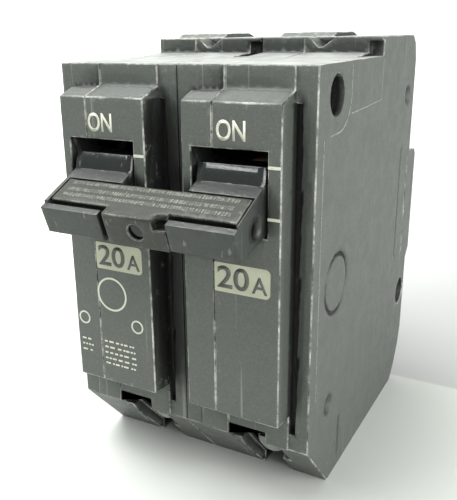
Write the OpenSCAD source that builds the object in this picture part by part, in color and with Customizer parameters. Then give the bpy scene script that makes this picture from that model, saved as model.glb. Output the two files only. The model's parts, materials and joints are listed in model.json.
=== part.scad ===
// Two-pole plug-in miniature circuit breaker, standing on its load end.
// Each pole is drawn in its own frame and set in place by pole(): x runs from the pole's left
// side, y is the depth behind the flat front strips, z is the height above the load end.

/* [Case] */
// Width of one pole, the pitch of the panel
pole_w = 25.4; // [25.4:0.1:26]
// Width of the cover half; the base half takes the rest
cover_w = 9.5; // [9:0.1:10]
// Wall thickness of both halves
wall = 2.2; // [1.8:0.1:2.4]
// Height of the flat front of the case
front_h = 80.8; // [80.4:0.1:81]
// Height of the raised line end
line_end_h = 84.4; // [84:0.1:84.6]
// Depth of the case behind the front strips, down to the foot
foot_y = 66.5; // [66:0.1:68]
// How far the raised face stands in front of the strips
face_out = 5.2; // [4.8:0.1:5.4]

/* [Handle] */
// Width of one handle
handle_w = 12.1; // [11.6:0.1:12.2]
// Length of a handle from its pivot to its tip
lever_len = 18.4; // [18:0.1:19]
// Radius of the barrel that closes the slot
barrel_r = 8.5; // [8.2:0.1:8.5]
// Angle of the lever below the horizontal at OFF
off_angle = 18.5; // [17:0.5:18.5]

/* [Terminals] */
// Width of the wire channel
channel_w = 6; // [5.6:0.1:6.2]
// Gap under the wire clamp with the screw backed off
wire_gap = 4.6; // [4.4:0.1:4.8]

/* [Hidden] */
$fn = 48;

// Clearances
side_gap = 0.1;       // between a pole's side and its pitch line
run_gap = 0.05;       // round a turning shaft
eps = 0.01;           // how far a cut runs past a face

// The x planes of one pole
x_lo = side_gap;
x_hi = pole_w - side_gap;
x_in_lo = x_lo + wall;
x_in_hi = x_hi - wall;
x_mid = pole_w / 2;
face_x0 = 3.7;
face_x1 = 21.7;

// Front of the case
band_out = 0.45;
band_low_z = 12.7;
face_z0 = 20.1;
face_z1 = 75.4;
slope_foot_y = 11.2;
step_y = 33.3;
wedge_y = 24;         // where the top begins to rise towards the step
wedge_rise = 0.7;
notch_w = 2.6;        // corner notch beside the step
vee_d = 1.9;          // depth of the vee in the step
groove_w = 1.15;      // groove along the right foot of the raised face
groove_d = 1.3;
back_y = 60.7;

// Handle
pivot_y = 2.5;
pivot_z = 61.2;
handle_x0 = 6.9;
handle_x1 = handle_x0 + handle_w;
trunnion_r = 2.4;
trunnion_x0 = 4.3;
trunnion_x1 = 21.1;
boss_r = 4.2;
hub_r = 3.8;
tip_half = 2.9;
root_half = 4.05;
root_u = 8;
barrel_half_angle = 51;
slot_x0 = 5.5;
slot_x1 = 19.3;
slot_z0 = 54.15;
slot_z1 = 68.1;

// Handle tie
tie_t = 1.2;
tie_back = 7.9;       // depth of the plate from the tips, clear of the raised face at ON
tie_x0 = 7.9;
tie_x1 = pole_w + 18.5;
tab_x0 = 20;
tab_x1 = pole_w + 6.7;
tie_hole_r = 1.45;
tie_pin_r = 1.5;
tie_pin_u = 12.1;
tie_pin_v = -0.9;
top_angle = atan((root_half - tip_half) / (lever_len - root_u));
lip = 1.2;            // rim left at the tip of a handle, in front of the plate
lip_drop = 0.45;      // how far the rim lies below the plate
tie_gap = 0.85;       // open space between the rim and the plate
relief_r = 1.4;

// Placing in the row's frame: the middle of the whole depth is at y = 0
handle_tip_y = pivot_y - lever_len * cos(off_angle) - tip_half * sin(off_angle);
front_y = -(foot_y + handle_tip_y) / 2;

// Contact arm: its pivot rides in the handle's fork
fork_r = 7;
arm_x0 = 11.2;
arm_x1 = 14.2;
arm_pin_r = 1.2;
arm_len = 29.6;
arm_down = 0.8;
arm_h = 4;
arm_y = pivot_y + fork_r * cos(off_angle);
arm_z = pivot_z + fork_r * sin(off_angle);
handle_swing = 35;
arm_swing = 61;
on_tilt = arm_swing - handle_swing - arm_down;    // slope of the arm when it has closed
contact_t = 1.2;
contact_r = 2;
pad_half = 2.4;       // half length of the bent pad under the moving contact
contact_air = 0.06;   // left between the closed contacts

// Line end: the fixed contact sits where the closed arm brings the moving one
on_y = pivot_y + fork_r * cos(handle_swing - off_angle);
on_z = pivot_z - fork_r * sin(handle_swing - off_angle);
contact_y = on_y + arm_len * cos(on_tilt) + contact_t * sin(on_tilt);
contact_z = on_z + arm_len * sin(on_tilt) - contact_t * cos(on_tilt) + contact_t + contact_air;
jaw_z = 64.5;
jaw_y0 = 46;
jaw_y1 = 58.2;
jaw_x0 = 6.4;
jaw_x1 = 19;
jaw_gap = 2.2;
jaw_t = 1.2;
strap_t = 1.4;

// Arc chute
plate_count = 5;
plate_pitch = 2.2;
plate_t = 1;
plate_z0 = 60.5;

// Load end
screw_x = 15;
screw_z = 9;
screw_r = 2.08;       // 8-32 thread
screw_head_r = 3.1;
screw_head_t = 2.6;
clamp_t = 1.4;
terminal_y = 16;
terminal_t = 1.6;
clamp_y = terminal_y - wire_gap - clamp_t;
channel_x0 = 12;
channel_back_y = 16.4;
bulge_r = 26.5;       // the channel's left edge bows out with this radius

// Trip unit
trip_y = 27.6;
trip_z = 22;
trip_r = 2;
armature_t = 1.2;
armature_top = 47;
bimetal_y = 32.4;
cradle_y = 7;
cradle_z = 46.5;
cradle_x0 = 8.4;
cradle_t = 1.6;
cradle_pin_r = 1.5;
nose_y = 26.7;
nose_z = 44.6;

// Colours
phenolic = "#3a3d3a";
black_steel = "#26282a";
zinc = "#b9bcc0";
copper = "#b8734a";
silver = "#d5d6d8";
steel = "#8d9196";
fibre = "#7a4a35";

// ---------- helpers ----------

module pole(n) translate([(n - 1) * pole_w, front_y, 0]) children();

// Extrudes an outline drawn in (y, z) from x0 to x1
module along_x(x0, x1) translate([x0, 0, 0]) rotate([90, 0, 90]) linear_extrude(x1 - x0) children();

module block(x0, x1, y0, y1, z0, z1) translate([x0, y0, z0]) cube([x1 - x0, y1 - y0, z1 - z0]);

module rod_x(x0, x1, y, z, r) translate([x0, y, z]) rotate([0, 90, 0]) cylinder(h = x1 - x0, r = r);

module rod_y(y0, y1, x, z, r) translate([x, y0, z]) rotate([-90, 0, 0]) cylinder(h = y1 - y0, r = r);

// A bar of half height h1 to h2 between two points of the (y, z) plane
module bar(p, q, h1, h2) {
    a = atan2(q[1] - p[1], q[0] - p[0]);
    n = [-sin(a), cos(a)];
    polygon([p + h1 * n, q + h2 * n, q - h2 * n, p - h1 * n]);
}

// The handle's own frame: u outward along the lever, v up across it, at OFF
module in_handle(x0, x1) along_x(x0, x1) translate([pivot_y, pivot_z])
    rotate(180 + off_angle) mirror([0, 1]) children();

// Same frame for solids: x across, u and v as above
module handle_frame() translate([0, pivot_y, pivot_z]) rotate([off_angle, 0, 0]) mirror([0, 1, 0]) children();

// Sweeps a ring of radius r along the points pts, as one closed tube
module tube(pts, r, sides) {
    n = len(pts);
    function dir(i) = let (d = pts[min(i + 1, n - 1)] - pts[max(i - 1, 0)]) d / norm(d);
    function side_of(d) = let (c = cross(d, abs(d[2]) < 0.9 ? [0, 0, 1] : [1, 0, 0])) c / norm(c);
    rings = [for (i = [0 : n - 1]) let (d = dir(i), s = side_of(d), u = cross(s, d))
        for (k = [0 : sides - 1]) pts[i] + r * (cos(360 * k / sides) * s + sin(360 * k / sides) * u)];
    walls = [for (i = [0 : n - 2]) for (k = [0 : sides - 1]) let (m = (k + 1) % sides)
        [i * sides + k, i * sides + m, (i + 1) * sides + m, (i + 1) * sides + k]];
    first = [for (k = [sides - 1 : -1 : 0]) k];
    last = [for (k = [0 : sides - 1]) (n - 1) * sides + k];
    polyhedron(rings, concat([first], walls, [last]), convexity = 10);
}

// ---------- case ----------

// Side outline of the case, without the raised face
module case_outline() polygon([[0, band_low_z], [0, front_h], [step_y, front_h], [step_y, line_end_h],
    [57.2, line_end_h], [59.4, line_end_h - 1.6], [back_y, line_end_h - 5.2], [back_y, 58.5],
    [foot_y - 0.8, 58.2], [foot_y, 57.2], [foot_y, 33], [foot_y - 2, 31], [foot_y - 2.1, 12.5],
    [foot_y - 3.6, 7.6], [foot_y - 6.3, 3.3], [foot_y - 8.6, 0.8], [foot_y - 10.2, 0], [slope_foot_y, 0]]);

module cavity_outline() polygon([[wall, 13.7], [wall, front_h - wall], [step_y + wall, front_h - wall],
    [step_y + wall, line_end_h - vee_d - wall], [56.6, line_end_h - vee_d - wall],
    [back_y - wall, line_end_h - 6],
    [back_y - wall, 14], [back_y - 4.2, 5], [back_y - 6, wall], [slope_foot_y + 1.1, wall]]);

// Outline of the raised face with the low bands above and below it
module face_outline() polygon([[wall, band_low_z + 2.6], [0, band_low_z], [-band_out, band_low_z],
    [-band_out, face_z0 - 0.5], [-face_out, face_z0], [-face_out, face_z1],
    [-band_out, face_z1 + 1.7], [-band_out, front_h], [wall, front_h]]);

module face_cavity_outline() polygon([[wall + eps, face_z0 + 2], [-face_out + wall, face_z0 + 2],
    [-face_out + wall, face_z1 - 2], [wall + eps, face_z1 - 2]]);

// Ramp that lifts the top towards the step
module wedge() polygon([[wedge_y, front_h - 0.5], [wedge_y, front_h], [step_y + 0.5, front_h + wedge_rise],
    [step_y + 0.5, front_h - 0.5]]);

// Low ridge over the arc vents on top of the line end
module vent_ridge() polygon([[38, line_end_h - 0.1], [40.6, line_end_h + 0.9], [51.4, line_end_h + 0.9],
    [55, line_end_h - 0.1]]);

// Where the rivets go: depth, height, radius of the recess, radius of the shank
rivets = [[8.5, 75.6, 3.45, 1.8], [55, 71.7, 2.1, 1.2], [60.4, 23.4, 3.25, 1.8], [10.1, 17.7, 2.1, 1.2]];
recess_d = 3.2;

// Shallow moulded lines of the outer side faces: depth, foot and head of each, and one ring
line_w = 0.65;
line_d = 0.4;
side_lines = [[16.5, 2.4, 12], [52.2, 34.8, 60.5], [58.6, 34.2, 57]];
ring_y = 11.8;
ring_z = 41.9;
ring_r = 6;
ring_w = 0.9;

// All that both halves have in common, before each is cut to its own side
module shell_body(x0, x1, wall_x0, wall_x1) {
    difference() {
        union() {
            along_x(x0, x1) case_outline();
            along_x(max(x0, face_x0), min(x1, face_x1)) face_outline();
            along_x(max(x0, 1.6), min(x1, 13.6)) vent_ridge();
            along_x(x0, min(x1, x_hi - notch_w)) wedge();
        }
        difference() {
            union() {
                along_x(wall_x0, wall_x1) cavity_outline();
                along_x(max(wall_x0, face_x0 + 1.8), min(wall_x1, face_x1 - 1.8)) face_cavity_outline();
            }
            for (r = rivets) rod_x(x0, x1, r[0], r[1], r[3] + 1.5);
            children();
        }
        for (r = rivets) rod_x(x0 - 1, x1 + 1, r[0], r[1], r[3] + run_gap);
        front_cuts();
        line_end_cuts();
        foot_cuts();
    }
}

// Handle slot and load-end openings
module front_cuts() {
    block(slot_x0, slot_x1, -face_out - 1, -face_out + wall + 0.1, slot_z0, slot_z1);
    block(face_x0, 9, -band_out - 1, 0, face_z1 + 1.2, front_h + 1);
    block(face_x1, face_x1 + groove_w, -band_out - 1, groove_d, 16, 75);
    block(9.7, 17.1, -1, wall + 1, band_low_z - 1, 15);
    block(channel_x0, channel_x0 + channel_w, -1, channel_back_y, -1, band_low_z);
    intersection() {
        block(10, channel_x0 + eps, -1, slope_foot_y, 0.8, band_low_z - 0.6);
        translate([channel_x0 - 1.4 + bulge_r, slope_foot_y / 2, band_low_z / 2])
            rotate([-atan2(band_low_z, slope_foot_y), 0, 0]) cylinder(h = 3.2, r = bulge_r, center = true);
    }
    along_x(channel_x0 + channel_w - eps, channel_x0 + channel_w + 1.7)
        polygon([[0.8, 11.2], [5.4, 5.2], [6.6, 6.6], [2, 12.4]]);
}

// Vee in the step, and the mouth for the bus stab
module line_end_cuts() {
    translate([0, step_y - 1, 0]) rotate([-90, 0, 0]) linear_extrude(5.4)
        polygon([[10.3, -line_end_h - 1], [10.3, -line_end_h], [12.4, -line_end_h + vee_d],
            [13.2, -line_end_h + vee_d], [15.9, -line_end_h],
            [15.9, -line_end_h - 1]]);
    block(x_hi - notch_w, x_hi + 1, step_y - 1, step_y + 1.2, front_h, line_end_h - 0.8);
    block(jaw_x0 - 0.4, jaw_x1 + 0.4, back_y - wall - 1, back_y + 1, jaw_z - 3.8, jaw_z + 3.8);
}

// Notch that takes the panel's rail
module foot_cuts() block(4.2, pole_w - 4.2, foot_y - 6.5, foot_y + 1, 12.2, 17);

// Socket for one trunnion of the handle
module trunnion_boss(x0, x1) rod_x(x0, x1, pivot_y, pivot_z, boss_r);

// Ribs that carry the jaw, the arc chute and the load strap
module ribs(x0, x1) {
    block(x0, x1, jaw_y0 - 0.2, jaw_y1, jaw_z - 5.4, jaw_z - 4.2);
    block(x0, x1, 40, 44.4, 55.4, 57.2);
    block(x0, x1, 18.5, 30, 8.4, 10);
    block(x0, x1, 38.6, 40, 22, 44);
}

module cover(n) color(phenolic) pole(n) difference() {
    shell_body(x_lo, cover_w, x_in_lo, cover_w + eps) {
        trunnion_boss(x_in_lo - eps, handle_x0 - 0.5);
        rod_x(x_in_lo - eps, cradle_x0 - 0.4, cradle_y, cradle_z, 2.8);
        ribs(x_in_lo - eps, 5);
    }
    rod_x(trunnion_x0 - 0.2, cover_w, pivot_y, pivot_z, trunnion_r + run_gap);
    rod_x(n == 1 ? x_lo - 1 : x_in_lo - 1.2, cover_w, trip_y, trip_z, trip_r + run_gap);
    rod_x(x_in_lo - 0.6, cover_w, cradle_y, cradle_z, cradle_pin_r);
    if (n == 0) side_marks(x_lo - 1, x_lo + line_d);
}

module base(n) color(phenolic) pole(n) difference() {
    shell_body(cover_w, x_hi, cover_w - eps, x_in_hi) {
        trunnion_boss(handle_x1 + 0.5, x_in_hi + eps);
        ribs(20.4, x_in_hi + eps);
    }
    rod_x(handle_x1, trunnion_x1 + 0.2, pivot_y, pivot_z, trunnion_r + run_gap);
    rod_x(handle_x1, n == 0 ? x_hi + 1 : x_in_hi + 1.2, trip_y, trip_z, trip_r + run_gap);
    if (n == 1) side_marks(x_hi - line_d, x_hi + 1);
}

// Rivet recesses, the ring and the shallow moulded lines on an outer side face
module side_marks(x0, x1) {
    deep = x0 < x_mid ? [x_lo - 1, x_lo + recess_d] : [x_hi - recess_d, x_hi + 1];
    for (r = rivets) rod_x(deep[0], deep[1], r[0], r[1], r[2]);
    difference() {
        rod_x(x0, x1, ring_y, ring_z, ring_r);
        rod_x(x0 - 1, x1 + 1, ring_y, ring_z, ring_r - ring_w);
    }
    for (l = side_lines) block(x0, x1, l[0], l[0] + line_w, l[1], l[2]);
}

module case_rivets() color(steel) pole(0) for (r = rivets) {
    head_r = r[2] - 0.25;
    rod_x(x_lo + recess_d, pole_w + x_hi - recess_d, r[0], r[1], r[3]);
    difference() {
        rod_x(x_lo + recess_d - 1, x_lo + recess_d, r[0], r[1], head_r);
        rod_x(x_lo, x_lo + recess_d - 0.4, r[0], r[1], r[3] * 0.55);
    }
    difference() {
        rod_x(pole_w + x_hi - recess_d, pole_w + x_hi - recess_d + 1, r[0], r[1], head_r);
        rod_x(pole_w + x_hi - recess_d + 0.4, pole_w + x_hi, r[0], r[1], r[3] * 0.55);
    }
}

// ---------- line end ----------

// One leaf of the jaw, drawn in (y, z) above the middle of the gap
module leaf(t) polygon([[jaw_y0, jaw_gap / 2], [jaw_y1 - 3.6, jaw_gap / 2 - 0.3], [jaw_y1, jaw_gap / 2 + 1.6],
    [jaw_y1, jaw_gap / 2 + 1.6 + t], [jaw_y1 - 3.8, jaw_gap / 2 - 0.3 + t], [jaw_y0, jaw_gap / 2 + t]]);

module stab_jaw(n) color(copper) pole(n) translate([0, 0, jaw_z]) {
    along_x(jaw_x0, jaw_x1) leaf(jaw_t);
    along_x(jaw_x0, jaw_x1) mirror([0, 1]) leaf(jaw_t);
    block(jaw_x0, jaw_x1, jaw_y0, jaw_y0 + jaw_t, -jaw_gap / 2 - jaw_t, jaw_gap / 2 + jaw_t);
}

// Steel clip that squeezes the two leaves together
module jaw_spring(n) color(steel) pole(n) translate([0, 0, jaw_z]) {
    half = jaw_gap / 2 + jaw_t + 0.02;
    for (s = [0, 1]) mirror([0, 0, s]) along_x(x_mid - 3, x_mid + 3)
        polygon([[jaw_y0 + 0.4, half], [jaw_y1 - 4, half], [jaw_y1 - 4, half + 0.6],
            [jaw_y0 + 0.4, half + 0.6]]);
    block(x_mid - 3, x_mid + 3, jaw_y0 + 0.4, jaw_y0 + 1, half, half + 0.6);
    for (x = [x_mid - 4.2, x_mid + 3]) block(x, x + 1.2, jaw_y0 + 2, jaw_y0 + 5, half, half + 0.6);
    for (x = [x_mid - 4.2, x_mid + 3]) block(x, x + 1.2, jaw_y0 + 2, jaw_y0 + 5, -half - 0.6, -half);
}

module line_strap(n) color(copper) pole(n) {
    block(9.5, 15.9, contact_y - 3.4, jaw_y0, contact_z + contact_t, contact_z + contact_t + strap_t);
    block(9.5, 15.9, jaw_y0 - strap_t, jaw_y0, jaw_z - 2.3, contact_z + contact_t + strap_t);
}

module fixed_contact(n) color(silver) pole(n)
    translate([x_mid, contact_y, contact_z]) cylinder(h = contact_t, r = contact_r + 0.3);

module arc_plates(n) color(steel) pole(n) for (i = [0 : plate_count - 1])
    translate([0, 0, plate_z0 + i * plate_pitch]) linear_extrude(plate_t)
        polygon([[6.6, 34.4], [9.4, 34.4], [9.9, 40.6], [11.4, 42.2], [14, 42.2], [15.5, 40.6],
            [16, 34.4], [18.8, 34.4], [18.8, 44], [6.6, 44]]);

module arc_sides(n) color(fibre) pole(n) for (x = [5.4, 18.8])
    block(x, x + 1.2, 33.6, 44.3, plate_z0 - 1.2, plate_z0 + (plate_count - 1) * plate_pitch + plate_t + 1);

// ---------- load end ----------

module load_strap(n) color(copper) pole(n) {
    difference() {
        block(11, 19, terminal_y, terminal_y + terminal_t, 3.4, 13.6);
        rod_y(terminal_y - 1, terminal_y + terminal_t + 1, screw_x, screw_z, screw_r + run_gap);
    }
    block(10, 19, terminal_y, 38, 12, 13.6);
    difference() {
        block(10, 15.4, 36.4, 38, 12, 19.6);
        rod_y(36, 39, x_mid, 16.6, 1.25);
    }
}

// Saddle plate that the screw carries; it grips the wire against the load strap
module wire_clamp(n) color(zinc) pole(n) difference() {
    union() {
        block(12.2, 17.8, clamp_y, clamp_y + clamp_t, 4.6, 13.2);
        block(12.2, 17.8, clamp_y + clamp_t, clamp_y + clamp_t + 0.5, 12.2, 13.2);
    }
    rod_y(clamp_y - 1, clamp_y + clamp_t + 1, screw_x, screw_z, screw_r + run_gap);
}

module terminal_screw(n) color(zinc) pole(n) difference() {
    union() {
        rod_y(clamp_y - screw_head_t, clamp_y - 0.02, screw_x, screw_z, screw_head_r);
        rod_y(clamp_y - 0.5, clamp_y + 11.5, screw_x, screw_z, screw_r);
    }
    head_y = clamp_y - screw_head_t;
    block(screw_x - 2.6, screw_x + 2.6, head_y - 1, clamp_y - 1.2, screw_z - 0.5, screw_z + 0.5);
    block(screw_x - 0.5, screw_x + 0.5, head_y - 1, clamp_y - 1.2, screw_z - 1.8, screw_z + 1.8);
}

// ---------- trip unit ----------

module bimetal(n) color(zinc) pole(n) {
    block(10, 15.4, bimetal_y, bimetal_y + 1.2, 13.6, 46);
    block(10, 15.4, bimetal_y - 2.4, bimetal_y, 13.6, 14.6);
}

module magnet_yoke(n) color(steel) pole(n) difference() {
    block(8.2, 17.2, 29.6, 35.2, 28, 39);
    block(9.4, 16, 29, bimetal_y + 1.2, 27, 40);
}

// Latch plate that is held on the trip bar and drawn towards the yoke
module armature(n) color(steel) pole(n) difference() {
    union() {
        block(8.2, 17.2, trip_y - armature_t / 2, trip_y + armature_t / 2, trip_z + 2.5, armature_top);
        rod_x(9.2, 16.2, trip_y, trip_z, 3.1);
    }
    rod_x(9, 17, trip_y, trip_z, trip_r);
}

module trip_bar() color(black_steel) pole(0)
    rod_x(x_in_lo - 0.8, pole_w + x_in_hi + 0.8, trip_y, trip_z, trip_r);

// Torsion spring round the trip bar, in the right pole
module trip_spring() color(zinc) pole(1) {
    turns = 3;
    steps = 16;
    r = 2.7;
    coil = [for (i = [0 : turns * steps]) [18 + i * 0.8 / steps,
        trip_y + r * cos(360 * i / steps), trip_z - r * sin(360 * i / steps)]];
    tube(concat([[18, trip_y + r, trip_z + 7], [18, trip_y + r, trip_z + 1]], coil,
        [[20.4, trip_y + r, trip_z - 1], [20.4, trip_y + r, trip_z - 5.5]]), 0.3, 6);
}

module calibration_screw(n) color(zinc) pole(n) difference() {
    union() {
        rod_y(bimetal_y + 1.25, 41.5, x_mid, 16.6, 1.2);
        rod_y(41.5, 43, x_mid, 16.6, 2.1);
    }
    block(x_mid - 3, x_mid + 3, 42.3, 44, 16.2, 17);
}

// Flexible lead from the free end of the bimetal to the contact arm
module braid(n) color(copper) pole(n) {
    points = [[bimetal_y + 2.3, 43], [34.9, 45], [36, 47], [37.6, 49], [38.2, 51.4], [37.4, 53.8],
        [35.4, 55.6], [33, 56.6], [30.6, 56.9], [28.4, 57]];
    tube([for (p = points) [x_mid, p[0], p[1]]], 1, 8);
}

// ---------- mechanism ----------

module cradle(n) color(steel) pole(n) difference() {
    along_x(cradle_x0, cradle_x0 + cradle_t) difference() {
        union() {
            translate([cradle_y, cradle_z]) circle(r = 3);
            bar([cradle_y, cradle_z], [17, 46], 2.6, 2.2);
            bar([16.6, 46], [nose_y - 1.4, nose_z], 2.2, 1.2);
            bar([nose_y - 1.6, nose_z], [nose_y, nose_z], 0.9, 0.9);
        }
        translate([cradle_y, cradle_z]) circle(r = cradle_pin_r + run_gap);
    }
    block(cradle_x0 - 1, cradle_x0 + 3, 15, 16.2, 47.6, 49);
}

module cradle_pin(n) color(steel) pole(n)
    rod_x(x_in_lo - 0.5, cradle_x0 + cradle_t + 0.6, cradle_y, cradle_z, cradle_pin_r);

// Extension spring from the cradle up to the contact arm
module main_spring(n) color(zinc) pole(n) {
    foot = [x_mid, 17, 50];
    top = [x_mid, 21.6, 58.6];
    axis = (top - foot) / norm(top - foot);
    across = [1, 0, 0];
    other = cross(axis, across);
    turns = 6;
    steps = 12;
    r = 1.9;
    coil = [for (i = [0 : turns * steps]) foot + axis * norm(top - foot) * i / (turns * steps)
        + r * (cos(360 * i / steps) * across + sin(360 * i / steps) * other)];
    tube(coil, 0.35, 6);
}

// Blade that swings in the handle's fork and carries the moving contact
module contact_arm(n) color(copper) pole(n) translate([0, arm_y, arm_z]) rotate([-arm_down, 0, 0])
    difference() {
        union() {
            rod_x(arm_x0, arm_x1, 0, 0, 2.4);
            along_x(arm_x0, arm_x1) polygon([[0, 2.2], [8, 1],
                [arm_len - pad_half * cos(on_tilt), pad_half * sin(on_tilt) - contact_t],
                [arm_len + pad_half * cos(on_tilt), -pad_half * sin(on_tilt) - contact_t],
                [arm_len + 1.4, -contact_t - 2.8], [arm_len - 3, -contact_t - arm_h], [8, -2.8], [0, -2.2]]);
        }
        rod_x(arm_x0 - 1, arm_x1 + 1, 0, 0, arm_pin_r + run_gap);
    }

module moving_contact(n) color(silver) pole(n) translate([0, arm_y, arm_z]) rotate([-arm_down, 0, 0])
    translate([x_mid, arm_len, -contact_t]) rotate([-on_tilt, 0, 0]) cylinder(h = contact_t, r = contact_r);

module arm_pin(n) color(steel) pole(n) rod_x(8.4, 17.4, arm_y, arm_z, arm_pin_r);

// ---------- handle ----------

// Lever in the handle's own frame
module lever_outline() polygon([[0, 0], [root_u - 1, root_half + 0.1], [root_u, root_half],
    [lever_len - 0.4, tip_half], [lever_len, tip_half - 0.4], [lever_len, -tip_half + 0.4],
    [lever_len - 0.4, -tip_half], [root_u, -root_half], [root_u - 1, -root_half - 0.1]]);

module barrel_outline() intersection() {
    circle(r = barrel_r, $fn = 96);
    polygon([[0, 0], 14 * [cos(barrel_half_angle), sin(barrel_half_angle)], [20, 0],
        14 * [cos(barrel_half_angle), -sin(barrel_half_angle)]]);
}

// A strip parallel to the lever's top surface: tip and back are measured inward from the lever's
// tip, low and high from the surface
module tie_strip(x0, x1, tip, back, low, high) in_handle(x0, x1) translate([lever_len, tip_half])
    rotate(180 - top_angle) mirror([0, 1]) polygon([[tip, low], [back, low], [back, high], [tip, high]]);

module handle(n) color(phenolic) pole(n) difference() {
    union() {
        in_handle(handle_x0, handle_x1) {
            lever_outline();
            barrel_outline();
            circle(r = hub_r);
        }
        for (x = [[handle_x0 + 0.5, handle_x0 + 3], [handle_x1 - 3, handle_x1 - 0.5]]) in_handle(x[0], x[1]) {
            translate([-fork_r, 0]) circle(r = 2.5);
            polygon([[0, 2.5], [-fork_r, 2.5], [-fork_r, -2.5], [0, -2.5]]);
        }
        rod_x(trunnion_x0, trunnion_x1, pivot_y, pivot_z, trunnion_r);
    }
    rod_x(8.4, 17.4, arm_y, arm_z, arm_pin_r);
    in_handle(handle_x0 - 1, handle_x1 + 1) translate([tie_pin_u, tie_pin_v]) circle(r = tie_pin_r + run_gap);
    tie_strip(handle_x0 - 1, handle_x1 + 1, -1, lip + eps, -lip_drop, 1);
    if (n == 0) tie_strip(tie_x0 - 0.3, handle_x1 + 1, lip, tie_back + 0.3, -tie_t, 1);
    if (n == 1) tie_strip(handle_x0 - 1, tie_x1 - pole_w + 0.3, lip, tie_back + 0.3, -tie_t, 1);
}

// Bent plate that joins the two handles
module handle_tie() color(black_steel) pole(0) difference() {
    union() {
        tie_strip(tie_x0, tie_x1, lip + tie_gap, tie_back, 0.02 - tie_t, 0);
        tie_strip(tab_x0, tab_x1, 0, tie_back, 0.02 - tie_t, 0);
        in_handle(tab_x0, tab_x1) polygon([[lever_len - tie_t, tip_half - 0.3], [lever_len, tip_half - 0.3],
            [lever_len, -tip_half], [lever_len - tie_t, -tip_half]]);
    }
    handle_frame() translate([(tab_x0 + tab_x1) / 2, 0, 0]) rotate([-90, 0, 0])
        cylinder(h = lever_len + 2, r = tie_hole_r);
    handle_frame() translate([tab_x1 - 1, lever_len - 0.3, 1]) cylinder(h = 4, r = relief_r);
}

module tie_pin() color(steel) pole(0) in_handle(handle_x0 + 1.6, pole_w + handle_x1 - 1.6)
    translate([tie_pin_u, tie_pin_v]) circle(r = tie_pin_r);

// ---------- pieces ----------

cover(0);  // left_cover
base(0);  // left_base
cover(1);  // right_cover
base(1);  // right_base
case_rivets();
stab_jaw(0);  // left_stab_jaw
stab_jaw(1);  // right_stab_jaw
jaw_spring(0);  // left_jaw_spring
jaw_spring(1);  // right_jaw_spring
line_strap(0);  // left_line_strap
line_strap(1);  // right_line_strap
fixed_contact(0);  // left_fixed_contact
fixed_contact(1);  // right_fixed_contact
arc_plates(0);  // left_arc_plates
arc_plates(1);  // right_arc_plates
arc_sides(0);  // left_arc_sides
arc_sides(1);  // right_arc_sides
load_strap(0);  // left_load_strap
load_strap(1);  // right_load_strap
wire_clamp(0);  // left_wire_clamp
wire_clamp(1);  // right_wire_clamp
terminal_screw(0);  // left_terminal_screw
terminal_screw(1);  // right_terminal_screw
bimetal(0);  // left_bimetal
bimetal(1);  // right_bimetal
magnet_yoke(0);  // left_magnet_yoke
magnet_yoke(1);  // right_magnet_yoke
armature(0);  // left_armature
armature(1);  // right_armature
trip_bar();
trip_spring();
calibration_screw(0);  // left_calibration_screw
calibration_screw(1);  // right_calibration_screw
braid(0);  // left_braid
braid(1);  // right_braid
cradle(0);  // left_cradle
cradle(1);  // right_cradle
cradle_pin(0);  // left_cradle_pin
cradle_pin(1);  // right_cradle_pin
main_spring(0);  // left_main_spring
main_spring(1);  // right_main_spring
contact_arm(0);  // left_contact_arm
contact_arm(1);  // right_contact_arm
moving_contact(0);  // left_moving_contact
moving_contact(1);  // right_moving_contact
arm_pin(0);  // left_arm_pin
arm_pin(1);  // right_arm_pin
handle(0);  // left_handle
handle(1);  // right_handle
handle_tie();
tie_pin();
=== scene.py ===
"""Two-pole plug-in circuit breaker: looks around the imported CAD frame."""
import json
import math
import random

import bmesh
import bpy
import numpy as np
from mathutils import Matrix, Vector, kdtree
from mathutils.bvhtree import BVHTree


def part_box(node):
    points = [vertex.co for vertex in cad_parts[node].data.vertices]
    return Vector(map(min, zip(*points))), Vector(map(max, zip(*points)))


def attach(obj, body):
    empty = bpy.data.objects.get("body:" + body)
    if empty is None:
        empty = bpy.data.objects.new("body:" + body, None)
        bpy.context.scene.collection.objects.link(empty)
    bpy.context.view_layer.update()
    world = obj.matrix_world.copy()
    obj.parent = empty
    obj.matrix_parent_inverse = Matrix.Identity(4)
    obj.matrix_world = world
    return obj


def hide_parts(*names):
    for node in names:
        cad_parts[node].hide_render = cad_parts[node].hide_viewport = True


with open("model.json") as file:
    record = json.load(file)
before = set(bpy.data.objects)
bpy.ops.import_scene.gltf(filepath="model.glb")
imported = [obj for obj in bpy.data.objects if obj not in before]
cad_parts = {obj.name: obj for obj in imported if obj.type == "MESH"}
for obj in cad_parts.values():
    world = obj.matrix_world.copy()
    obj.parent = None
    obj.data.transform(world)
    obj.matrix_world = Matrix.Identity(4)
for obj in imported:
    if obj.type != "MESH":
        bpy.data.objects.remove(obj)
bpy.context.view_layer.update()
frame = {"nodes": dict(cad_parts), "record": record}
nodes = frame["nodes"]

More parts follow.
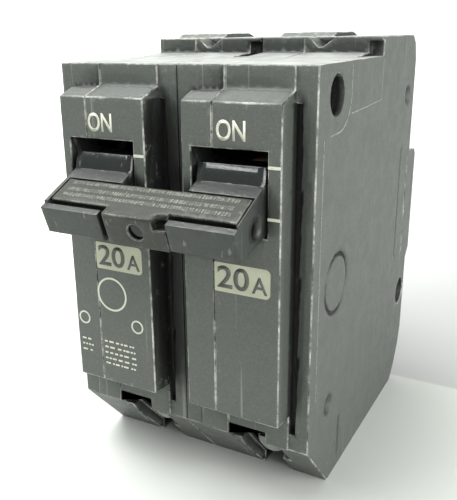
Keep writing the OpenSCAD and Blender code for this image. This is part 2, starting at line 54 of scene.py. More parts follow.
MM = 0.001
POLE = 25.4  # pitch of the poles, mm
FACE_OUT = 5.2  # how far the raised face stands in front of the strips, mm
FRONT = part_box("left_base")[0].y / MM + FACE_OUT  # depth of the front strips, mm
PIVOT = (2.5, 61.2)  # handle pivot: depth and height, mm
OFF_ANGLE = math.radians(18.5)  # slope of the handles at OFF
LEVER = 18.4  # length of a handle from its pivot, mm
TIP_HALF = 2.9  # half thickness of a handle at its tip, mm
TAPER = 0.1106  # how fast a handle thickens towards its root
SEAM = 9.5  # where the cover half meets the base half, mm
FACE = (3.7, 21.7)  # sides of the raised face, mm
SIDE = POLE - 0.1  # outer side face of the right pole, mm
SIDE_MARKS = ((2.9, 59.0), (1.8, 79.0))  # depths and heights of the grooves and holes in it, mm
BARREL_ARC = (6.9, 29.6)  # least radius, mm, and angle from the lever's middle, degrees, of a barrel
BARREL_EDGE = (8.2, 45, 8.0)  # least radius, angle and length of its two long edges
INK_OUT = 0.04  # thickness of the printing, mm
LABEL_OUT = 0.05  # thickness of the label's ground and of the lettering, mm
POCKET = 0.014  # how far openness is looked for around a point, m

rng = random.Random(11)


def at(pole, x, y, z):
    """A point given in mm in a pole's own frame, in metres in the row frame."""
    return Vector(((pole - 1) * POLE + x, FRONT + y, z)) * MM


# ---------------------------------------------------------------- materials


class Graph:
    """Shorthand for a material's node tree."""

    def __init__(self, name):
        self.mat = bpy.data.materials.new(name)
        self.mat.use_nodes = True
        self.tree = self.mat.node_tree
        self.bsdf = self.tree.nodes["Principled BSDF"]
        self.coord = self.new("ShaderNodeTexCoord").outputs["Object"]

    def new(self, kind, **props):
        """A node of a kind, with its properties set."""
        n = self.tree.nodes.new(kind)
        for k, v in props.items():
            setattr(n, k, v)
        return n

    def link(self, a, b):
        self.tree.links.new(a, b)

    def feed(self, socket, value):
        """Sets a socket to a number or a colour, or links it to another node's output."""
        if isinstance(value, (int, float)):
            socket.default_value = value
        elif isinstance(value, tuple):
            opaque = (1.0,) if len(socket.default_value) == 4 and len(value) == 3 else ()
            socket.default_value = value + opaque
        else:
            self.link(value, socket)

    def scaled(self, scale, turn=(0, 0, 0)):
        """The piece's own coordinates, stretched and turned."""
        m = self.new("ShaderNodeMapping")
        self.link(self.coord, m.inputs["Vector"])
        m.inputs["Scale"].default_value = scale
        m.inputs["Rotation"].default_value = turn
        return m.outputs["Vector"]

    def noise(self, scale, detail=4.0, rough=0.55, stretch=(1, 1, 1), turn=(0, 0, 0)):
        n = self.new("ShaderNodeTexNoise")
        self.link(self.scaled(stretch, turn), n.inputs["Vector"])
        n.inputs["Scale"].default_value = scale
        n.inputs["Detail"].default_value = detail
        n.inputs["Roughness"].default_value = rough
        return n.outputs["Fac"]

    def ramp(self, value, lo, hi, out_lo=0.0, out_hi=1.0):
        """A value mapped smoothly from lo..hi to out_lo..out_hi."""
        n = self.new("ShaderNodeMapRange", interpolation_type="SMOOTHSTEP")
        self.link(value, n.inputs["Value"])
        for key, v in (("From Min", lo), ("From Max", hi), ("To Min", out_lo), ("To Max", out_hi)):
            n.inputs[key].default_value = v
        return n.outputs["Result"]

    def math(self, op, a, b=0.0, clamp=False):
        n = self.new("ShaderNodeMath", operation=op, use_clamp=clamp)
        self.feed(n.inputs[0], a)
        self.feed(n.inputs[1], b)
        return n.outputs[0]

    def mix(self, fac, a, b):
        """Colour a at fac 0, colour b at fac 1."""
        n = self.new("ShaderNodeMix", data_type="RGBA")
        self.feed(n.inputs["Factor"], fac)
        self.feed(n.inputs[6], a)
        self.feed(n.inputs[7], b)
        return n.outputs[2]

    def attribute(self, name):
        return self.new("ShaderNodeAttribute", attribute_name=name).outputs["Fac"]

    def up(self):
        """How far a face looks up, 0 to 1."""
        g = self.new("ShaderNodeNewGeometry")
        s = self.new("ShaderNodeSeparateXYZ")
        self.link(g.outputs["Normal"], s.inputs[0])
        return s.outputs["Z"]

    def bump(self, height, strength, distance):
        n = self.new("ShaderNodeBump")
        n.inputs["Strength"].default_value = strength
        n.inputs["Distance"].default_value = distance
        self.link(height, n.inputs["Height"])
        self.link(n.outputs["Normal"], self.bsdf.inputs["Normal"])

    def done(self, **inputs):
        """Feeds the shader's inputs and gives the finished material."""
        for key, v in inputs.items():
            self.feed(self.bsdf.inputs[key.replace("_", " ")], v)
        return self.mat


def phenolic(name, base, worn=(0.42, 0.43, 0.39), dust=0.5, rough=(0.48, 0.58), wear=1.0,
             pocket_shade=(0.006, 0.007, 0.006), gloss=0.5, relief=0.16):
    """Moulded dark phenolic: mottled, scuffed, dusty on top, pale where its edges are worn, with painted
    shade in its pockets.
    """
    g = Graph(name)
    cloud = g.noise(60, 5, 0.6, (1, 1, 0.5))
    grain = g.noise(1500, 2, 0.6)
    dark = tuple(c * 0.98 for c in base)
    light = tuple(c * 1.02 for c in base)
    colour = g.mix(g.ramp(cloud, 0.3, 0.7), dark, light)
    grit = g.ramp(g.noise(3300, 3, 0.7), 0.36, 0.64)
    colour = g.mix(g.math("MULTIPLY", grit, 0.5), colour, tuple(c * 1.55 for c in base))
    speck = g.ramp(g.noise(1900, 2, 0.5), 0.62, 0.72, 0.0, 0.45)
    colour = g.mix(speck, colour, tuple(c * 2.2 for c in base))
    # rubbed marks and fine scratches
    rub = g.ramp(g.noise(240, 6, 0.75, (1, 1, 0.35)), 0.6, 0.8, 0.0, 0.06)
    colour = g.mix(rub, colour, tuple(c * 1.9 for c in base))
    s1 = g.ramp(g.noise(150, 2, 0.4, (6, 6, 0.12), (0.0, 0.35, 0.2)), 0.71, 0.75, 0.0, 0.2)
    s2 = g.ramp(g.noise(170, 2, 0.4, (6, 6, 0.12), (0.3, -0.6, 0.1)), 0.72, 0.76, 0.0, 0.2)
    colour = g.mix(g.math("MAXIMUM", s1, s2), colour, worn)
    # dust that lies on what looks up
    up = g.ramp(g.up(), 0.92, 0.995)
    settled = g.math("MULTIPLY", up, g.ramp(g.noise(160, 6, 0.65), 0.25, 0.75, 0.35 * dust, dust))
    colour = g.mix(settled, colour, (0.62, 0.64, 0.61))
    # painted shade in pockets and recesses, partly also the clean plastic that nothing rubs; parts without
    # the open map take this shade all over
    exposed = g.ramp(g.attribute("open"), 0.38, 0.86)
    colour = g.mix(exposed, pocket_shade, colour)
    # worn edges: the rounded corner itself, and a faint fringe beside it
    patch = g.ramp(g.noise(210, 5, 0.75), 0.36, 0.66)
    chip = g.ramp(g.noise(1100, 3, 0.6), 0.35, 0.6, 0.45, 1.0)
    corner = g.math("MULTIPLY", g.attribute("corner"), g.math("MULTIPLY", patch, chip))
    faint = g.ramp(g.noise(420, 6, 0.75), 0.56, 0.72, 0.0, 0.55)
    fringe = g.math("MULTIPLY", g.attribute("wear"), faint)
    worn_edge = g.math("MULTIPLY", g.math("MAXIMUM", corner, fringe), wear, True)
    colour = g.mix(worn_edge, colour, worn)
    # gloss, which is lost far inside a pocket
    dull = g.ramp(g.attribute("open"), 0.1, 0.38, 1.0, 0.0)
    roughness = g.math("MAXIMUM", g.ramp(g.noise(300, 4, 0.6), 0.3, 0.7, *rough), dull)
    g.bump(g.math("ADD", grain, g.math("MULTIPLY", g.noise(260, 4, 0.6), 0.7)), relief, 0.0004)
    return g.done(Base_Color=colour, Roughness=roughness, IOR=1.5, Specular_IOR_Level=gloss)


def metal(name, base, rough, stretch=(1, 1, 1), tarnish=(0.12, 0.11, 0.1), spots=0.4,
          metallic=1.0, gloss=0.5):
    """Plated or plain metal with a brushed grain and tarnish."""
    g = Graph(name)
    brushed = g.noise(700, 3, 0.6, stretch)
    stain = g.ramp(g.noise(170, 5, 0.65), 0.5, 0.8, 0.0, spots)
    colour = g.mix(g.ramp(brushed, 0.3, 0.7), tuple(c * 0.82 for c in base), base)
    colour = g.mix(stain, colour, tarnish)
    g.bump(brushed, 0.12, 0.0002)
    return g.done(Base_Color=colour, Metallic=metallic, Specular_IOR_Level=gloss,
                  Roughness=g.ramp(g.noise(400, 4), 0.3, 0.7, *rough))


def printed(name, ink, under, gone=0.62):
    """Pad-printed ink, thinned in places."""
    g = Graph(name)
    missing = g.ramp(g.noise(1300, 4, 0.7), gone, gone + 0.08, 0.0, 0.75)
    soft = g.mix(g.ramp(g.noise(260, 4), 0.3, 0.7), tuple(c * 0.86 for c in ink), ink)
    g.bump(g.noise(1500, 2), 0.1, 0.0002)
    return g.done(Base_Color=g.mix(missing, soft, under), Roughness=0.55)


def fibre_mat():
    """Pressed red-brown fibre with a flecked surface."""
    g = Graph("vulcanised_fibre")
    flecks = g.noise(500, 6, 0.7, (1, 1, 0.3))
    g.bump(flecks, 0.2, 0.0003)
    colour = g.mix(g.ramp(flecks, 0.3, 0.7), (0.2, 0.09, 0.05), (0.36, 0.19, 0.12))
    return g.done(Base_Color=colour, Roughness=0.75)


def braid_mat():
    """Copper wires plaited round the lead."""
    g = Graph("copper_weave")
    waves = []
    for turn in (0.7, -0.7):
        w = g.new("ShaderNodeTexWave", bands_direction="DIAGONAL")
        g.link(g.scaled((1, 1, 1), (0, turn, 0)), w.inputs["Vector"])
        w.inputs["Scale"].default_value = 420
        waves.append(w.outputs["Fac"])
    plait = g.math("MAXIMUM", *waves)
    g.bump(plait, 0.6, 0.0003)
    colour = g.mix(plait, (0.12, 0.045, 0.02), (0.55, 0.27, 0.16))
    return g.done(Base_Color=colour, Metallic=1.0, Roughness=0.4)


CASE = (0.062, 0.070, 0.061)
CREAM = (0.56, 0.57, 0.47)
M = {
    "phenolic_case": phenolic("moulded_case", CASE, dust=0.42),
    "phenolic_handle": phenolic("moulded_handle", (0.018, 0.022, 0.019), dust=0.2, rough=(0.36, 0.5),
                                wear=0.25),
    "barrel": phenolic("polished_barrel", (0.009, 0.012, 0.011), dust=0.0, rough=(0.12, 0.17),
                       wear=0.0, relief=0.03),
    "black_steel": phenolic("painted_tie", (0.030, 0.032, 0.026), worn=(0.34, 0.35, 0.30), dust=0.0,
                            rough=(0.34, 0.48), wear=0.45, gloss=0.25),
    "black_plastic": phenolic("black_bar", (0.01, 0.01, 0.01), dust=0.0, rough=(0.7, 0.85), gloss=0.15),
    "zinc_steel": metal("zinc_plate", (0.30, 0.31, 0.30), (0.36, 0.55), spots=0.8),
    "plain_steel": metal("plain_steel", (0.36, 0.36, 0.36), (0.3, 0.5), spots=0.6),
    "bimetal": metal("rolled_bimetal", (0.56, 0.53, 0.46), (0.25, 0.4), (1, 1, 0.05)),
    "copper": metal("plated_copper", (0.50, 0.27, 0.17), (0.35, 0.55), (1, 0.1, 1), (0.2, 0.1, 0.06)),
    "copper_braid": braid_mat(),
    "silver_contact": metal("silver_alloy", (0.8, 0.79, 0.76), (0.18, 0.35)),
    "fibre": fibre_mat(),
}
INK = printed("cream_ink", CREAM, CASE)
LABEL = printed("label_ground", (0.40, 0.41, 0.31), CASE, 0.7)
NUMERAL = printed("numeral_ink", (0.07, 0.08, 0.07), (0.3, 0.3, 0.24), 0.75)
# pale lines along the moulding lines of the side face
PALE_TRACE = printed("pale_trace", (0.30, 0.31, 0.28), CASE, 0.5)
EMBOSSED = printed("embossed_tie", (0.17, 0.175, 0.15), (0.036, 0.038, 0.030), 0.45)
# near-black matte rivets: painted shade in the rivet holes
RIVET_SHADE = metal("rivet_painted_shade", (0.012, 0.012, 0.011), (0.6, 0.8), metallic=0.0, gloss=0.05)

for part in frame["record"]["subparts"]:
    mesh = nodes[part["node"]].data
    mesh.materials.clear()
    mesh.materials.append(RIVET_SHADE if part["node"] == "case_rivets" else M[part["material_slot"]])

# ---------------------------------------------------------------- mesh helpers


def search_tree(names):
    """One search tree over several CAD nodes."""
    verts, tris = [], []
    for name in names:
        me = nodes[name].data
        base = len(verts)
        verts += [v.co.copy() for v in me.vertices]
        tris += [tuple(base + i for i in p.vertices) for p in me.polygons]
    return BVHTree.FromPolygons(verts, tris)


CASE_NODES = ("left_cover", "left_base", "right_cover", "right_base")
SHELLS = search_tree(CASE_NODES)
AROUND = search_tree(CASE_NODES + ("left_handle", "right_handle", "handle_tie"))


def cleaned(node):
    """A bmesh copy of a CAD node with its coplanar triangles joined."""
    bm = bmesh.new()
    bm.from_mesh(nodes[node].data)
    bmesh.ops.remove_doubles(bm, verts=bm.verts, dist=2e-6)
    bmesh.ops.dissolve_limit(bm, angle_limit=math.radians(0.4), verts=bm.verts, edges=bm.edges)
    bmesh.ops.recalc_face_normals(bm, faces=bm.faces)
    return bm


def opens_outward(edge, tree):
    """Whether nothing stands over an edge."""
    n = sum((f.normal for f in edge.link_faces), Vector()).normalized()
    mid = (edge.verts[0].co + edge.verts[1].co) / 2
    return tree.ray_cast(mid + n * 0.00004, n, 0.3)[0] is None


def on_side_face(edge):
    """Whether an edge lies within an outer side face, round a groove or a hole, and not on its border."""
    (y0, y1), (z0, z1) = SIDE_MARKS
    for v in edge.verts:
        x, y, z = v.co / MM
        if abs(abs(x) - SIDE) > 0.05 or not (y0 < y - FRONT < y1 and z0 < z < z1):
            return False
    return True


def bevelled(bm, offset, least=25, tree=None, shortest=0.0, skip=None, clamp=False):
    """Rounds the convex edges sharper than least degrees, marks the new faces and returns the edges."""
    picked = []
    for e in bm.edges:
        if len(e.link_faces) != 2 or e.calc_length() < shortest:
            continue
        if math.degrees(e.calc_face_angle_signed(0.0)) < least:
            continue
        if tree is not None and not opens_outward(e, tree):
            continue
        if skip is not None and skip(e):
            continue
        picked.append(e)
    lines = [(e.verts[0].co.copy(), e.verts[1].co.copy()) for e in picked]
    layer = bm.faces.layers.int.new("round")
    made = bmesh.ops.bevel(bm, geom=picked, offset=offset, offset_type="OFFSET", segments=2,
                           profile=0.5, affect="EDGES", clamp_overlap=clamp, loop_slide=not clamp)
    for f in made["faces"]:
        f[layer] = 1
    return lines


def densify(bm, longest, tree):
    """Splits the long edges of the faces that are seen from outside, so that wear can fade over them."""
    bmesh.ops.triangulate(bm, faces=bm.faces)
    seen = bm.faces.layers.int.new("seen")
    for f in bm.faces:
        start = f.calc_center_median() + f.normal * 0.00005
        f[seen] = int(tree is None or tree.ray_cast(start, f.normal, 0.2)[0] is None)
    for _ in range(9):
        long = [e for e in bm.edges if e.calc_length() > longest and any(f[seen] for f in e.link_faces)]
        if not long:
            break
        bmesh.ops.subdivide_edges(bm, edges=long, cuts=1)
        bmesh.ops.triangulate(bm, faces=[f for f in bm.faces if len(f.verts) > 3])


def sky(count):
    """Evenly spread directions over a half sphere round +Z."""
    out = []
    for i in range(count):
        z = 0.12 + 0.86 * (i + 0.5) / count
        a = i * 2.399963
        r = math.sqrt(1 - z * z)
        out.append(Vector((r * math.cos(a), r * math.sin(a), z)))
    return out


DIRECTIONS = sky(14)


def add_openness(me, tree):
    """Stores how open the space over each point is, 0 in a pocket to 1 on an exposed face."""
    values = []
    outer = {i for p, s in zip(me.polygons, me.attributes["seen"].data) if s.value for i in p.vertices}
    for v in me.vertices:
        if v.index not in outer:
            values.append(0.0)
            continue
        turn = v.normal.to_track_quat("Z", "Y")
        start = v.co + v.normal * 0.00008
        free = sum(1 for d in DIRECTIONS if tree.ray_cast(start, turn @ d, POCKET)[0] is None)
        values.append(free / len(DIRECTIONS))
    me.attributes.new("open", "FLOAT", "POINT").data.foreach_set("value", values)


def add_wear(me, lines, reach):
    """Stores how near each point lies to a worn edge, 0 to 1."""
    rounded = [float(x.value) for x in me.attributes["round"].data]
    me.attributes.new("corner", "FLOAT", "FACE").data.foreach_set("value", rounded)
    me.attributes.remove(me.attributes["round"])
    step = 0.0004
    points = []
    for a, b in lines:
        count = max(1, int((b - a).length / step))
        points += [a.lerp(b, i / count) for i in range(count + 1)]
    tree = kdtree.KDTree(len(points))
    for i, p in enumerate(points):
        tree.insert(p, i)
    tree.balance()
    values = [math.exp(-((tree.find(v.co)[2] / reach) ** 2)) for v in me.vertices]
    me.attributes.new("wear", "FLOAT", "POINT").data.foreach_set("value", values)


def piece(bm, name, body, mat, smooth=None):
    """Makes an object of a bmesh and lets it ride on a body."""
    me = bpy.data.meshes.new(name)
    bm.to_mesh(me)
    bm.free()
    me.materials.append(mat)
    obj = bpy.data.objects.new(name, me)
    bpy.context.scene.collection.objects.link(obj)
    if smooth is not None:
        for p in me.polygons:
            p.use_smooth = True
        me.set_sharp_from_angle(angle=math.radians(smooth))
    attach(obj, body)
    return obj


def refined(node, name, body, slot, offset, longest, reach, soften=None, **kw):
    """A CAD node with rounded edges and a wear map, which stands for the node.

    Lengths are in metres: offset of the rounding, longest edge kept, and reach of the wear.
    """
    bm = cleaned(node)
    if soften:
        soften(bm)
    lines = bevelled(bm, offset, **kw)
    densify(bm, longest, kw.get("tree"))
    obj = piece(bm, name, body, M[slot], 32)
    add_wear(obj.data, lines, reach)
    add_openness(obj.data, AROUND)
    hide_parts(node)
    return obj


def prism(outline, place, depth):
    """A closed outline of (a, b) in mm, set by place(a, b, c) in metres, from c = 0 to c = depth."""
    bm = bmesh.new()
    low = [bm.verts.new(place(a, b, 0)) for a, b in outline]
    high = [bm.verts.new(place(a, b, depth)) for a, b in outline]
    bm.faces.new(low[::-1])
    bm.faces.new(high)
    n = len(outline)
    for i in range(n):
        bm.faces.new((low[i], low[(i + 1) % n], high[(i + 1) % n], high[i]))
    bmesh.ops.recalc_face_normals(bm, faces=bm.faces)
    return bm


def joined(parts):
    """Several bmeshes as one."""
    out = bmesh.new()
    for bm in parts:
        me = bpy.data.meshes.new("part")
        bm.to_mesh(me)
        bm.free()
        out.from_mesh(me)
        bpy.data.meshes.remove(me)
    return out


# ---------------------------------------------------------------- case halves

for side in ("left", "right"):
    for half in ("cover", "base"):
        refined(f"{side}_{half}", f"{side}_{half}_moulding", "case", "phenolic_case",
                offset=0.00022, longest=0.0016, reach=0.0004, tree=SHELLS, skip=on_side_face)

# ---------------------------------------------------------------- handles and tie


def barrel_part(point):
    """Distance from the handles' pivot in mm, and angle from the lever's middle line."""
    y = point.y / MM - FRONT - PIVOT[0]
    z = point.z / MM - PIVOT[1]
    angle = math.degrees(math.atan2(z, -y)) + math.degrees(OFF_ANGLE)
    return math.hypot(y, z), (angle + 180) % 360 - 180


def soften_barrel(bm):
    """Rounds the two long edges of the barrel."""
    least_radius, least_angle, least_length = BARREL_EDGE
    picked = []
    for e in bm.edges:
        a, b = e.verts
        length = e.calc_length()
        radius, angle = barrel_part((a.co + b.co) / 2)
        crosswise = abs(a.co.x - b.co.x) > 0.9 * length
        if crosswise and radius > least_radius and abs(angle) > least_angle and length > least_length * MM:
            picked.append(e)
    bmesh.ops.bevel(bm, geom=picked, offset=0.9 * MM, offset_type="OFFSET", segments=6, profile=0.5,
                    affect="EDGES", clamp_overlap=True)


for side in ("left", "right"):
    lever = refined(f"{side}_handle", f"{side}_lever", "handle", "phenolic_handle",
                    offset=0.0002, longest=0.0016, reach=0.0005, soften=soften_barrel, least=30,
                    shortest=0.0012, clamp=True)
    me = lever.data
    me.materials.append(M["barrel"])
    for p in me.polygons:
        radius, angle = barrel_part(p.center)
        if radius > BARREL_ARC[0] and abs(angle) > BARREL_ARC[1]:
            p.material_index = 1

refined("handle_tie", "tie_plate", "handle", "black_steel",
        offset=0.00025, longest=0.0014, reach=0.0005, least=30)

# ---------------------------------------------------------------- printing on the faces


def front_place(pole, y):
    """Places an outline on a front face at depth y: across, up and out, in mm."""
    return lambda a, b, c: at(pole, a, y - c, b)


def lettering(body_text, name, pole, box, mat, bold, y=-FACE_OUT):
    """Generic lettering, scaled to a box (x0, x1, z0, z1) on the raised face."""
    x0, x1, z0, z1 = box
    curve = bpy.data.curves.new(name, "FONT")
    curve.body = body_text
    curve.size = 1.0
    curve.offset = bold
    curve.resolution_u = 6
    tmp = bpy.data.objects.new(name + "_tmp", curve)
    bpy.context.scene.collection.objects.link(tmp)
    bpy.context.view_layer.update()
    me = bpy.data.meshes.new_from_object(tmp)
    bpy.data.objects.remove(tmp)
    co = np.array([v.co[:2] for v in me.vertices])
    lo, hi = co.min(0), co.max(0)
    bm = bmesh.new()
    bm.from_mesh(me)
    bpy.data.meshes.remove(me)
    for v in bm.verts:
        a = x0 + (v.co.x - lo[0]) / (hi[0] - lo[0]) * (x1 - x0)
        b = z0 + (v.co.y - lo[1]) / (hi[1] - lo[1]) * (z1 - z0)
        v.co = at(pole, a, y - LABEL_OUT, b)
    flat = list(bm.faces)
    out = bmesh.ops.extrude_face_region(bm, geom=flat)
    pushed = [v for v in out["geom"] if isinstance(v, bmesh.types.BMVert)]
    bmesh.ops.translate(bm, vec=(0, 0.00006, 0), verts=pushed)
    bmesh.ops.recalc_face_normals(bm, faces=bm.faces)
    piece(bm, name, "case", mat)


def rounded_box(x0, x1, z0, z1, radii, steps=6):
    """Outline with a radius at each corner: lower right, upper right, upper left, lower left."""
    corners = [(x1, z0, -90), (x1, z1, 0), (x0, z1, 90), (x0, z0, 180)]
    out = []
    for (x, z, start), r in zip(corners, radii):
        cx = x - r if x == x1 else x + r
        cz = z + r if z == z0 else z - r
        if r == 0:
            out.append((x, z))
            continue
        for i in range(steps + 1):
            t = math.radians(start + 90 * i / steps)
            out.append((cx + r * math.cos(t), cz + r * math.sin(t)))
    return out


def tick(name, pole, z0, z1):
    """A printed bar beside the handle's slot."""
    outline = rounded_box(19.4, FACE[1] - 0.15, z0, z1, (0.1, 0.1, 0.1, 0.1), 2)
    piece(prism(outline, front_place(pole, -FACE_OUT), INK_OUT), name, "case", INK)


def printed_ring(name, pole, x, z, radius, width):
    """A plain printed ring on a raised face."""
    bm = bmesh.new()
    steps = 40
    turns = [2 * math.pi * i / steps for i in range(steps)]
    rows = []
    for r, out in ((radius - width, 0), (radius, 0), (radius, INK_OUT), (radius - width, INK_OUT)):
        ring = [at(pole, x + r * math.cos(t), -FACE_OUT - out, z + r * math.sin(t)) for t in turns]
        rows.append([bm.verts.new(point) for point in ring])
    for a, b in zip(rows, rows[1:] + rows[:1]):
        for i in range(steps):
            k = (i + 1) % steps
            bm.faces.new((a[i], a[k], b[k], b[i]))
    bmesh.ops.recalc_face_normals(bm, faces=bm.faces)
    piece(bm, name, "case", INK)


def dashes(name, x0, x1, tops, height, place, mat, body="case",
           depth=INK_OUT, lengths=(0.35, 1.1)):
    """Rows of short bars of mixed length, which stand for lettering without being any."""
    parts = []
    for z in tops:
        x = x0
        while x < x1 - 0.5:
            length = rng.uniform(*lengths)
            end = min(x + length, x1)
            outline = rounded_box(x, end, z - height, z, (0.06, 0.06, 0.06, 0.06), 1)
            parts.append(prism(outline, place, depth))
            x = end + rng.uniform(0.4, 0.7) * length
    piece(joined(parts), name, body, mat)


for pole, side, on_x in ((0, "left", 9.9), (1, "right", 10.3)):
    face = front_place(pole, -FACE_OUT)
    on_label = -FACE_OUT - LABEL_OUT
    lettering("ON", f"{side}_on_mark", pole, (on_x, on_x + 5.2, 69.4, 72.7), INK, 0.014)
    plate = rounded_box(SEAM + 0.15, 20.0, 43.8, 49.0, (0.9, 0.9, 0.2, 0.2))
    piece(prism(plate, face, LABEL_OUT), f"{side}_rating_ground", "case", LABEL)
    lettering("20", f"{side}_rating_digits", pole, (10.2, 16.2, 44.5, 48.5), NUMERAL, 0.016, on_label)
    lettering("A", f"{side}_rating_unit", pole, (16.7, 19.5, 44.5, 47.4), NUMERAL, 0.012, on_label)
    tick(f"{side}_on_tick", pole, 65.45, 65.95)
tick("right_off_tick", 1, 57.2, 57.7)

# plain rings and rows of dashes where the left face carries its small print
printed_ring("left_plain_ring", 0, 12.7, 38.8, 3.4, 0.36)
printed_ring("left_small_ring", 0, 18.2, 33.2, 1.35, 0.3)
printed_ring("left_edge_ring", 0, 5.6, 32.8, 1.35, 0.3)
left_face = front_place(0, -FACE_OUT)
dashes("left_small_print", 10.2, 17.6, (28.9, 27.7, 26.5, 25.3, 24.2), 0.34, left_face, INK)
dashes("left_edge_print", 4.6, 7.6, (28.4, 27.2, 26.0), 0.32, left_face, INK)
dashes("left_foot_print", 9.9, 17.0, (18.6,), 0.3, front_place(0, -0.45), INK)


def plate_place(x, back, out):
    """A point over the tie plate: across, back from the handles' tips, and above the plate, in mm."""
    u = LEVER - back
    v = TIP_HALF + back * TAPER + out
    y = PIVOT[0] - u * math.cos(OFF_ANGLE) - v * math.sin(OFF_ANGLE)
    z = PIVOT[1] - u * math.sin(OFF_ANGLE) + v * math.cos(OFF_ANGLE)
    return at(0, x, y, z)


# fine specks where the plate of the tie carries raised text
dashes("tie_embossing", 9.4, POLE + 17.2, (7.4, 5.6, 4.1), 0.9, plate_place, EMBOSSED, "handle",
       0.05, (0.14, 0.42))


def side_place(a, b, c):
    """A point on the right pole's outer side: depth, height and distance out, in mm."""
    return at(1, SIDE + c, a, b)


def side_trace(name, points, width):
    """A thin pale line along points (depth, height) of the outer side face."""
    left, right = [], []
    for i, (y, z) in enumerate(points):
        y0, z0 = points[max(i - 1, 0)]
        y1, z1 = points[min(i + 1, len(points) - 1)]
        size = math.hypot(y1 - y0, z1 - z0)
        ny, nz = -(z1 - z0) / size * width / 2, (y1 - y0) / size * width / 2
        left.append((y + ny, z + nz))
        right.append((y - ny, z - nz))
    outline = left + right[::-1]
    piece(prism(outline, side_place, 0.03), name, "case", PALE_TRACE)


def lobe():
    """The sweep line round the upper rivet: down from the top and back to the front."""
    turns = np.linspace(0, math.pi / 2, 9)[1:]
    arc = [(9.9 + 6.0 * math.cos(t), 75.6 - 6.2 * math.sin(t)) for t in turns]
    return [(15.9, 80.0), (15.9, 75.6)] + arc + [(6.0, 69.3)]


side_trace("side_lobe_line", lobe(), 0.2)
side_trace("side_front_line", [(3.1, 69.0), (3.0, 45.0), (3.2, 22.0)], 0.16)
side_trace("side_step_line", [(16.4, 71.9), (26.0, 72.2), (34.3, 72.6), (34.6, 80.2)], 0.16)

# ---------------------------------------------------------------- setting


def sweep():
    """Paper that runs from under the breaker up into a wall, with painted light on it."""
    bm = bmesh.new()
    near, lean, run, high = -0.9, math.radians(22), 0.30, 1.3
    fold = at(0, 0, 60, 0).y
    radius = 0.2
    foot = (fold + run * math.cos(lean), run * math.sin(lean))
    line = [(near, 0.0), (fold, 0.0), foot]
    for t in np.linspace(lean, math.pi / 2, 12)[1:]:
        line.append((foot[0] + radius * (math.sin(t) - math.sin(lean)),
                     foot[1] + radius * (math.cos(lean) - math.cos(t))))
    line.append((line[-1][0], high))
    rows = []
    for x in np.linspace(-1.6, 1.6, 9):
        rows.append([bm.verts.new((x, y, z)) for y, z in line])
    for a, b in zip(rows, rows[1:]):
        for i in range(len(line) - 1):
            bm.faces.new((a[i], b[i], b[i + 1], a[i + 1]))
    me = bpy.data.meshes.new("paper_sweep")
    bm.to_mesh(me)
    bm.free()
    me.shade_smooth()
    me.set_sharp_from_angle(angle=math.radians(15))
    obj = bpy.data.objects.new("paper_sweep", me)
    bpy.context.scene.collection.objects.link(obj)
    g = Graph("paper_painted_light")
    place = g.new("ShaderNodeSeparateXYZ")
    g.link(g.coord, place.inputs[0])
    beyond = g.ramp(place.outputs["Y"], fold - 0.0008, fold + 0.0008)
    # painted light: the paper is lighter towards the left, and the wall's tone differs from the floor's
    left = g.ramp(place.outputs["X"], -0.13, 0.05, 1.0, 0.0)
    soft = g.ramp(g.noise(14, 3), 0.3, 0.7, 0.985, 1.015)
    floor_painted_tone = g.mix(left, (0.53, 0.543, 0.517), (0.60, 0.62, 0.59))
    wall_painted_tone = g.mix(left, (0.42, 0.425, 0.415), (0.80, 0.81, 0.79))
    g.feed(g.bsdf.inputs["Emission Color"], (0.95, 1.0, 0.96))
    g.bump(g.noise(500, 3), 0.05, 0.0005)
    # painted light: the left part of the wall glows, though it is no lamp
    painted_glow = g.math("MULTIPLY", beyond, g.math("MULTIPLY", left, 0.5))
    me.materials.append(g.done(Base_Color=g.mix(beyond, floor_painted_tone, wall_painted_tone), Roughness=0.8,
                               Emission_Strength=g.math("MULTIPLY", painted_glow, soft)))


sweep()


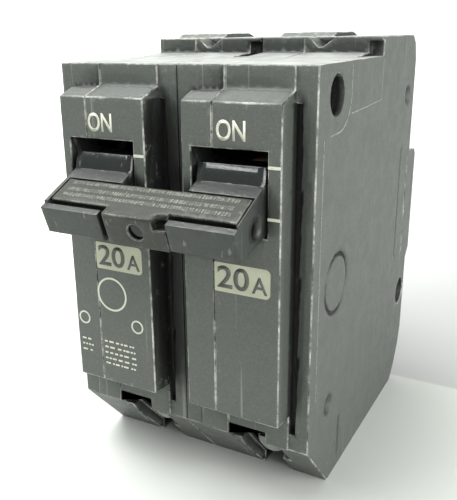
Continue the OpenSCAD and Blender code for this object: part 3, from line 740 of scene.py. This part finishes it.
def area_light(name, where, target, size, power):
    """A rectangular lamp that looks at a point."""
    light = bpy.data.lights.new(name, "AREA")
    light.shape = "RECTANGLE"
    light.size, light.size_y = size
    light.energy = power
    obj = bpy.data.objects.new(name, light)
    bpy.context.scene.collection.objects.link(obj)
    obj.location = where
    obj.rotation_euler = (Vector(target) - Vector(where)).to_track_quat("-Z", "Y").to_euler()


# name, place and target in metres, size in metres, power in watts
area_light("overhead", (-0.25, -0.12, 0.72), (0, 0, 0.03), (0.6, 0.5), 9.0)
area_light("right_fill", (0.75, -0.25, 0.35), (0, 0, 0.04), (0.6, 0.6), 8.2)
area_light("barrel_gleam", (-0.48, -0.43, 0.56), (0, 0, 0.06), (0.5, 0.06), 1.3)

world = bpy.data.worlds.new("room")
bpy.context.scene.world = world
world.use_nodes = True
world.node_tree.nodes["Background"].inputs["Color"].default_value = (0.9, 0.95, 0.92, 1)
world.node_tree.nodes["Background"].inputs["Strength"].default_value = 0.6
bpy.context.scene.view_settings.view_transform = "Standard"

# ---------------------------------------------------------------- camera

PITCH, YAW, ROLL = math.radians(17.90), math.radians(-29.96), math.radians(1.04)
EYE = (0.0620, FRONT * MM - 0.0977, 0.0859)  # the camera's place, m
cam_data = bpy.data.cameras.new("camera")
cam_data.sensor_width = 36.0
cam_data.lens = 48.1
cam_data.shift_x = 0.0386
cam_data.shift_y = -0.0066
cam_data.clip_start = 0.01
forward = Vector((math.sin(YAW) * math.cos(PITCH), math.cos(YAW) * math.cos(PITCH), -math.sin(PITCH)))
right = Vector((math.cos(YAW), -math.sin(YAW), 0))
down = forward.cross(right)
right, down = (right * math.cos(ROLL) + down * math.sin(ROLL),
               down * math.cos(ROLL) - right * math.sin(ROLL))
camera = bpy.data.objects.new("camera", cam_data)
camera.matrix_world = Matrix((
    (right.x, -down.x, -forward.x, EYE[0]),
    (right.y, -down.y, -forward.y, EYE[1]),
    (right.z, -down.z, -forward.z, EYE[2]),
    (0, 0, 0, 1)))
bpy.context.scene.collection.objects.link(camera)
bpy.context.scene.camera = camera
